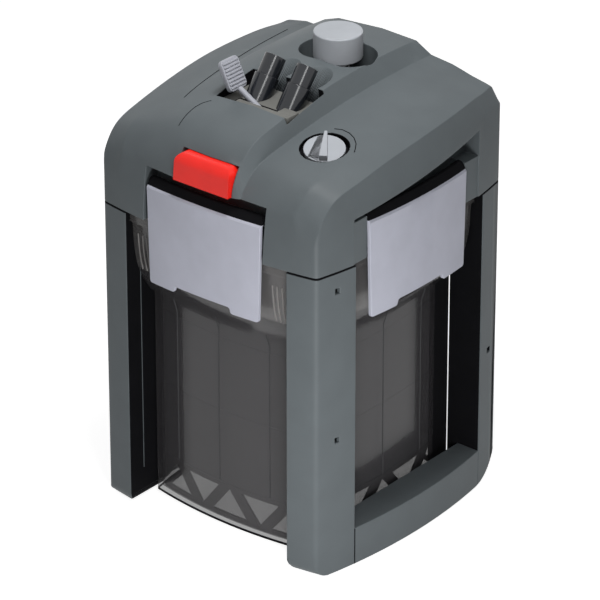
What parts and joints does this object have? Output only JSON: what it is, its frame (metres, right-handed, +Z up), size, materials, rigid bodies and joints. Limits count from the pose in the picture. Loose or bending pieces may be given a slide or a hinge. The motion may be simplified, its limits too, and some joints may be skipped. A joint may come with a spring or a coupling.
{
  "type": "canister filter",
  "caption": "Upright aquarium canister filter: clear canister in a post frame, clipped pump head with priming button, dial and lever-locked hose adapter.",
  "frame": {"origin": "middle of the footprint on the floor under the feet", "axes": "+Z up, +X to the right and +Y to the back when seen from the side with the red button"},
  "size_m": [0.238, 0.242, 0.38],
  "materials": {
    "housing": "fine grained moulded plastic, blue-grey",
    "clip": "fine grained moulded plastic, light grey",
    "canister": "clear smoke-coloured plastic",
    "basket": "dark moulded plastic",
    "rings": "rough ceramic media",
    "sponge": "open foam",
    "fleece": "white fleece",
    "rubber": "soft black rubber",
    "steel": "plain steel",
    "ceramic": "polished ceramic",
    "magnet": "moulded magnet",
    "core": "stacked steel sheets",
    "copper": "wound copper wire",
    "board": "printed board",
    "control": "light grey moulded plastic",
    "red": "glossy red plastic",
    "adapter": "beige-grey moulded plastic",
    "stub": "glossy black plastic"
  },
  "bodies": {
    "frame": {"canister_shell": "canister", "post_front_left": "housing", "post_front_right": "housing", "post_rear_left": "housing", "post_rear_right": "housing", "rail_left": "housing", "rail_right": "housing", "foot_pads": "rubber", "base_grid": "basket", "intake_duct": "basket"},
    "head": {"head_housing": "housing", "head_base": "basket", "head_seal": "rubber", "clip_pins": "steel", "impeller_cover": "basket", "rotor_shaft": "ceramic", "shaft_bushes": "rubber", "stator_core": "core", "stator_coils": "copper", "control_board": "board", "cable_gland": "housing", "priming_chamber": "basket", "priming_spring": "steel", "release_spring": "steel"},
    "rotor": {"impeller": "basket", "magnet_rotor": "magnet"},
    "clip_front": {"clip_front": "clip"},
    "clip_rear": {"clip_rear": "clip"},
    "clip_left": {"clip_left": "clip"},
    "clip_right": {"clip_right": "clip"},
    "adapter": {"hose_adapter": "adapter", "collar_left": "stub", "collar_right": "stub", "plug_seals": "rubber", "lever_pin": "steel"},
    "lever": {"lock_lever": "control"},
    "release_button": {"release_button": "red"},
    "dial": {"bypass_dial": "control"},
    "plunger": {"priming_button": "control", "priming_rod": "basket", "priming_piston": "basket", "piston_seal": "rubber"},
    "prefilter": {"prefilter_tray": "basket", "prefilter_pad": "fleece"},
    "upper_basket": {"basket_upper": "basket", "media_sponge": "sponge"},
    "lower_basket": {"basket_lower": "basket", "media_rings": "rings"}
  },
  "joints": [
    {"name": "head_lift", "type": "slide", "parent": "frame", "child": "head", "axis": [0, 0, 1], "range_m": [0, 0.32]},
    {"name": "prefilter_lift", "type": "slide", "parent": "frame", "child": "prefilter", "axis": [0, 0, 1], "range_m": [0, 0.25]},
    {"name": "upper_basket_lift", "type": "slide", "parent": "frame", "child": "upper_basket", "axis": [0, 0, 1], "range_m": [0, 0.17]},
    {"name": "lower_basket_lift", "type": "slide", "parent": "frame", "child": "lower_basket", "axis": [0, 0, 1], "range_m": [0, 0.085]},
    {"name": "clip_front_hinge", "type": "hinge", "parent": "head", "child": "clip_front", "pos_m": [0, -0.111, 0.289], "axis": [-1, 0, 0], "range_deg": [0, 75]},
    {"name": "clip_rear_hinge", "type": "hinge", "parent": "head", "child": "clip_rear", "pos_m": [0, 0.111, 0.289], "axis": [1, 0, 0], "range_deg": [0, 75]},
    {"name": "clip_left_hinge", "type": "hinge", "parent": "head", "child": "clip_left", "pos_m": [-0.108, 0, 0.289], "axis": [0, 1, 0], "range_deg": [0, 75]},
    {"name": "clip_right_hinge", "type": "hinge", "parent": "head", "child": "clip_right", "pos_m": [0.108, 0, 0.289], "axis": [0, -1, 0], "range_deg": [0, 75]},
    {"name": "rotor_spin", "type": "hinge", "parent": "head", "child": "rotor", "pos_m": [0, 0.034, 0.23], "axis": [0, 0, 1], "continuous": true},
    {"name": "adapter_lift", "type": "slide", "parent": "head", "child": "adapter", "axis": [0, 0, 1], "range_m": [0, 0.085]},
    {"name": "lever_swing", "type": "hinge", "parent": "adapter", "child": "lever", "pos_m": [0.006, -0.046, 0.338], "axis": [0, 1, 0], "range_deg": [0, 60]},
    {"name": "release_press", "type": "slide", "parent": "head", "child": "release_button", "axis": [0, 1, 0], "range_m": [0, 0.003], "stiffness_N_per_m": 400, "springref_m": -0.003},
    {"name": "dial_turn", "type": "hinge", "parent": "head", "child": "dial", "pos_m": [0.066, -0.054, 0.335], "axis": [0.1346, -0.201, 0.9703], "range_deg": [0, 90]},
    {"name": "priming_press", "type": "slide", "parent": "head", "child": "plunger", "axis": [0, 0, -1], "range_m": [0, 0.015], "stiffness_N_per_m": 400, "springref_m": -0.006, "deforming": ["priming_spring"]}
  ],
  "couplings": [
    {"joint": "prefilter_lift", "follows": "head_lift", "ratio": 0.75},
    {"joint": "upper_basket_lift", "follows": "head_lift", "ratio": 0.5},
    {"joint": "lower_basket_lift", "follows": "head_lift", "ratio": 0.25}
  ]
}
